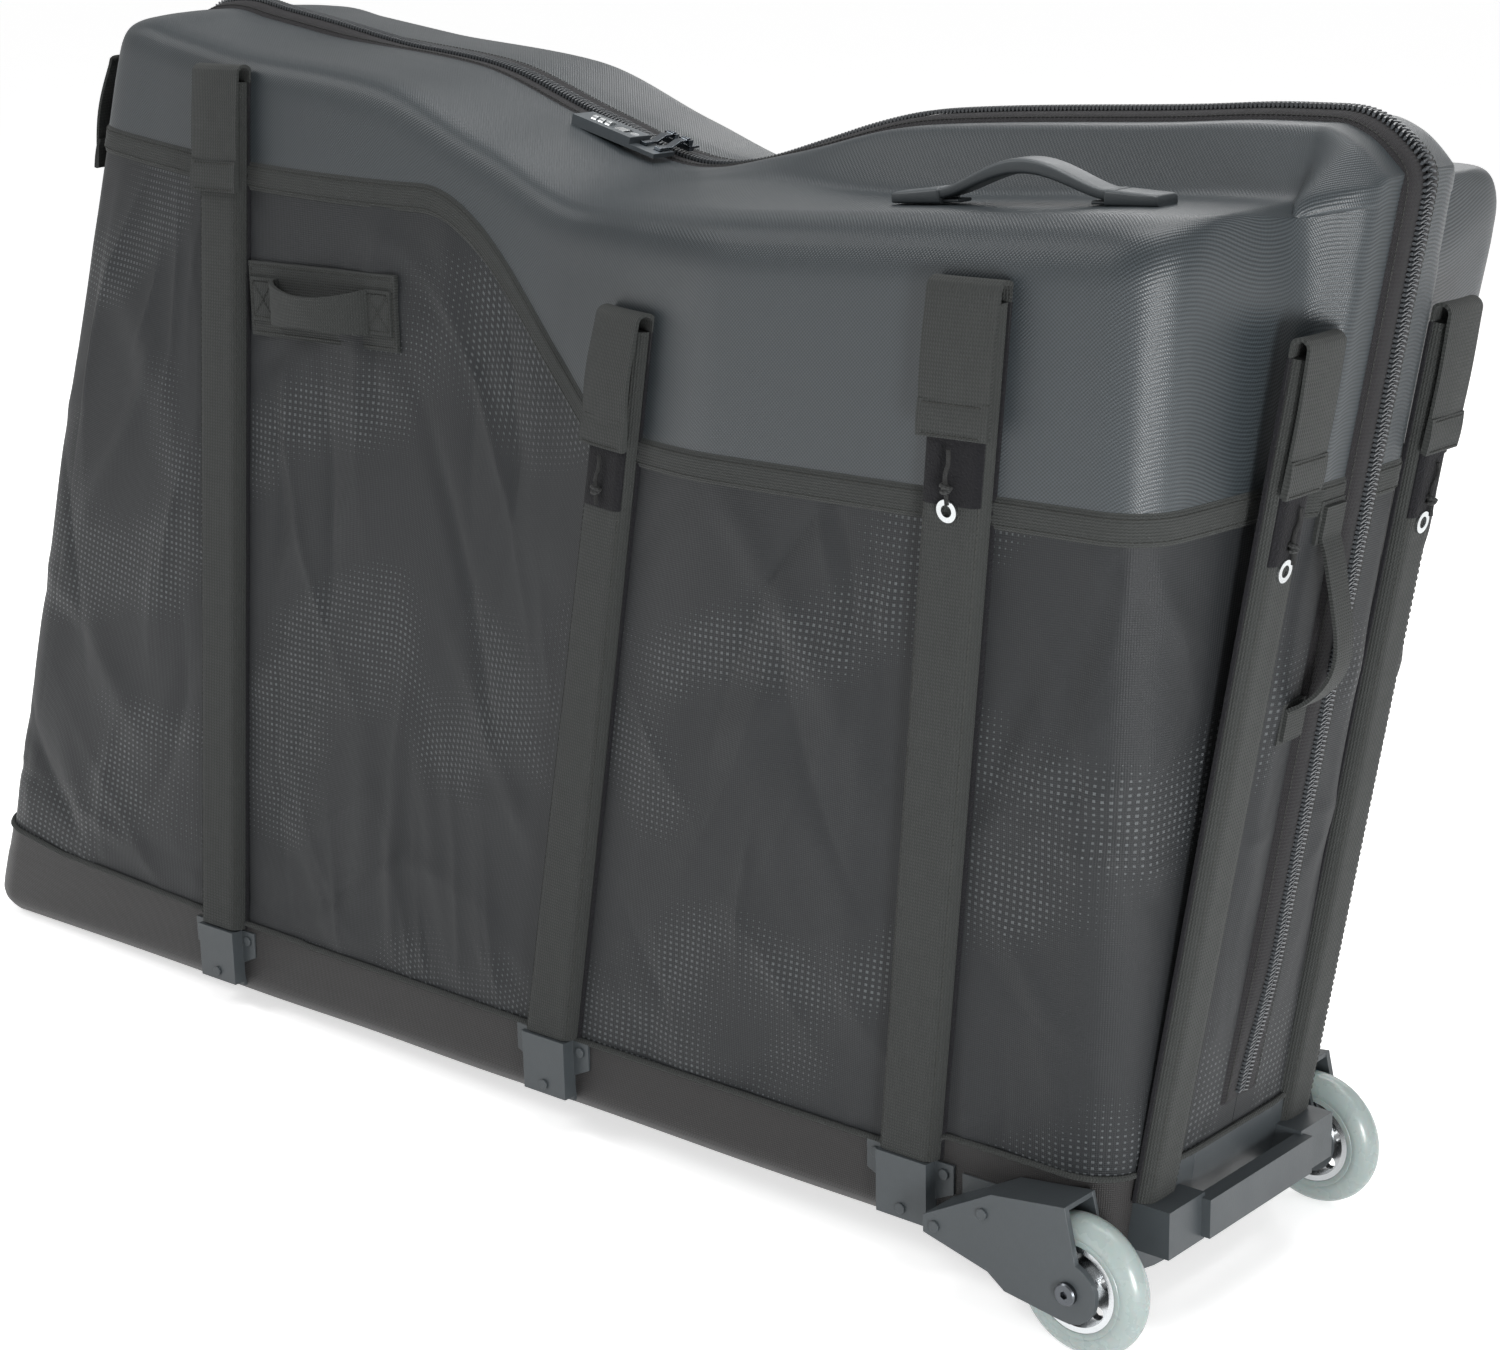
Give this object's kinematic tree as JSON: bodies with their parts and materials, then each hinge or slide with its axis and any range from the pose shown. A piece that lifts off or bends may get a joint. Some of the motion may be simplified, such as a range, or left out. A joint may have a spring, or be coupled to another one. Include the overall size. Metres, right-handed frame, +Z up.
{
  "type": "bike travel case",
  "caption": "Soft-sided bike travel case with moulded upper shells, fabric sides with pole sleeves, zip and lock over the ridge, on a wheeled base.",
  "frame": {"origin": "middle of the bounding box at floor level", "axes": "+X along the case towards the wheel end, +Y across towards the far side, +Z up"},
  "size_m": [1.3594, 0.4562, 0.8299],
  "materials": {
    "shell": "smooth moulded foam shell with a fine woven face",
    "fabric": "padded woven side with a printed dot pattern",
    "webbing": "ribbed webbing",
    "zip_tape": "woven tape with black coil",
    "tray": "grained plastic",
    "plate": "satin plastic",
    "board": "twin-wall board",
    "tyre": "pale cast polyurethane",
    "hub": "satin cast",
    "steel": "plated",
    "pole": "white fibreglass",
    "lock": "satin grey",
    "chrome": "dark polished",
    "cord": "braided cord"
  },
  "bodies": {
    "base": {"base_tray": "tray", "base_board": "board", "frame_cradle": "plate", "rear_skids": "plate", "end_cap": "plate", "near_wheel_housing": "plate", "far_wheel_housing": "plate", "near_axle": "steel", "far_axle": "steel", "near_anchors": "plate", "far_anchors": "plate", "base_rivets": "plate", "rear_tab": "plate"},
    "near_side": {"near_shell": "shell", "near_panel": "fabric", "near_binding": "webbing", "near_zip": "zip_tape", "near_sleeves": "webbing", "near_poles": "pole", "near_eyelets": "steel", "near_side_handle": "webbing", "near_end_handle": "webbing", "near_carry_handle": "plate", "near_pull_cords": "cord", "lock_body": "lock", "zip_sliders": "chrome"},
    "far_side": {"far_shell": "shell", "far_panel": "fabric", "far_binding": "webbing", "far_zip": "zip_tape", "far_sleeves": "webbing", "far_poles": "pole", "far_eyelets": "steel", "far_side_handle": "webbing", "far_carry_handle": "plate", "far_pull_cords": "cord"},
    "near_wheel": {"near_hub": "hub", "near_tyre": "tyre", "near_bearings": "steel"},
    "far_wheel": {"far_hub": "hub", "far_tyre": "tyre", "far_bearings": "steel"},
    "ring": {"rear_ring": "steel"},
    "near_rear_flap": {"near_rear_flap": "webbing"},
    "far_rear_flap": {"far_rear_flap": "webbing"},
    "near_mid_flap": {"near_mid_flap": "webbing"},
    "far_mid_flap": {"far_mid_flap": "webbing"},
    "near_front_flap": {"near_front_flap": "webbing"},
    "far_front_flap": {"far_front_flap": "webbing"},
    "near_nose_flap": {"near_nose_flap": "webbing"},
    "far_nose_flap": {"far_nose_flap": "webbing"},
    "near_tail_flap": {"near_tail_flap": "webbing"},
    "far_tail_flap": {"far_tail_flap": "webbing"},
    "lock_dial_1": {"lock_dial_1": "steel"},
    "lock_dial_2": {"lock_dial_2": "steel"},
    "lock_dial_3": {"lock_dial_3": "steel"},
    "lock_release": {"lock_release": "steel"},
    "key_cylinder": {"key_cylinder": "steel"},
    "zip_pull_1": {"zip_pull_1": "chrome"},
    "zip_pull_2": {"zip_pull_2": "chrome"}
  },
  "joints": [
    {"name": "near_side_fold", "type": "hinge", "parent": "base", "child": "near_side", "pos_m": [-0.08674, -0.1424, 0.07768], "axis": [0.9997, 0, 0.0257], "range_deg": [0, 60]},
    {"name": "far_side_fold", "type": "hinge", "parent": "base", "child": "far_side", "pos_m": [-0.08674, 0.1424, 0.07768], "axis": [-0.9997, 0, -0.0257], "range_deg": [0, 60]},
    {"name": "near_wheel_spin", "type": "hinge", "parent": "base", "child": "near_wheel", "pos_m": [0.56419, -0.149, 0.05], "axis": [0, 1, 0], "continuous": true},
    {"name": "far_wheel_spin", "type": "hinge", "parent": "base", "child": "far_wheel", "pos_m": [0.56419, 0.149, 0.05], "axis": [0, 1, 0], "continuous": true},
    {"name": "near_rear_flap_fold", "type": "hinge", "parent": "near_side", "child": "near_rear_flap", "pos_m": [-0.27661, -0.14239, 0.78763], "axis": [-0.9965, 0.0321, 0.0773], "range_deg": [0, 150]},
    {"name": "far_rear_flap_fold", "type": "hinge", "parent": "far_side", "child": "far_rear_flap", "pos_m": [-0.27661, 0.14239, 0.78763], "axis": [0.9965, 0.0321, -0.0773], "range_deg": [0, 150]},
    {"name": "near_mid_flap_fold", "type": "hinge", "parent": "near_side", "child": "near_mid_flap", "pos_m": [0.19174, -0.18984, 0.65332], "axis": [-0.9302, 0.2745, 0.2437], "range_deg": [0, 150]},
    {"name": "far_mid_flap_fold", "type": "hinge", "parent": "far_side", "child": "far_mid_flap", "pos_m": [0.19174, 0.18984, 0.65332], "axis": [0.9302, 0.2745, -0.2437], "range_deg": [0, 150]},
    {"name": "near_front_flap_fold", "type": "hinge", "parent": "near_side", "child": "near_front_flap", "pos_m": [0.50492, -0.22507, 0.70814], "axis": [-0.9878, -0.0216, 0.1545], "range_deg": [0, 150]},
    {"name": "far_front_flap_fold", "type": "hinge", "parent": "far_side", "child": "far_front_flap", "pos_m": [0.50492, 0.22507, 0.70814], "axis": [0.9878, -0.0216, -0.1545], "range_deg": [0, 150]},
    {"name": "near_nose_flap_fold", "type": "hinge", "parent": "near_side", "child": "near_nose_flap", "pos_m": [0.66937, -0.086, 0.67603], "axis": [0, -1, 0], "range_deg": [0, 150]},
    {"name": "far_nose_flap_fold", "type": "hinge", "parent": "far_side", "child": "far_nose_flap", "pos_m": [0.66937, 0.086, 0.67603], "axis": [0, -1, 0], "range_deg": [0, 150]},
    {"name": "near_tail_flap_fold", "type": "hinge", "parent": "near_side", "child": "near_tail_flap", "pos_m": [-0.46308, -0.076, 0.78635], "axis": [0, 1, 0], "range_deg": [0, 150]},
    {"name": "far_tail_flap_fold", "type": "hinge", "parent": "far_side", "child": "far_tail_flap", "pos_m": [-0.46308, 0.076, 0.78635], "axis": [0, 1, 0], "range_deg": [0, 150]},
    {"name": "lock_dial_1_turn", "type": "hinge", "parent": "near_side", "child": "lock_dial_1", "pos_m": [0.02236, -0.0318, 0.76188], "axis": [0.9737, 0, -0.2279], "continuous": true},
    {"name": "lock_dial_2_turn", "type": "hinge", "parent": "near_side", "child": "lock_dial_2", "pos_m": [0.02918, -0.0318, 0.76028], "axis": [0.9737, 0, -0.2279], "continuous": true},
    {"name": "lock_dial_3_turn", "type": "hinge", "parent": "near_side", "child": "lock_dial_3", "pos_m": [0.03599, -0.0318, 0.75869], "axis": [0.9737, 0, -0.2279], "continuous": true},
    {"name": "lock_release_slide", "type": "slide", "parent": "near_side", "child": "lock_release", "axis": [0.9737, 0, -0.2279], "range_m": [0, 0.003], "stiffness_N_per_m": 60},
    {"name": "key_cylinder_turn", "type": "hinge", "parent": "near_side", "child": "key_cylinder", "pos_m": [0.06035, -0.0318, 0.75524], "axis": [0.2279, 0, 0.9737], "range_deg": [0, 90]},
    {"name": "zip_pull_1_swing", "type": "hinge", "parent": "near_side", "child": "zip_pull_1", "pos_m": [0.07071, -0.003, 0.75344], "axis": [-0.9737, 0, 0.2279], "range_deg": [0, 90]},
    {"name": "zip_pull_2_swing", "type": "hinge", "parent": "near_side", "child": "zip_pull_2", "pos_m": [0.08483, -0.003, 0.75013], "axis": [-0.9737, 0, 0.2279], "range_deg": [0, 90]},
    {"name": "ring_swing", "type": "hinge", "parent": "base", "child": "ring", "pos_m": [-0.66986, -0.07, 0.06984], "axis": [0, 1, 0], "range_deg": [0, 100]}
  ]
}
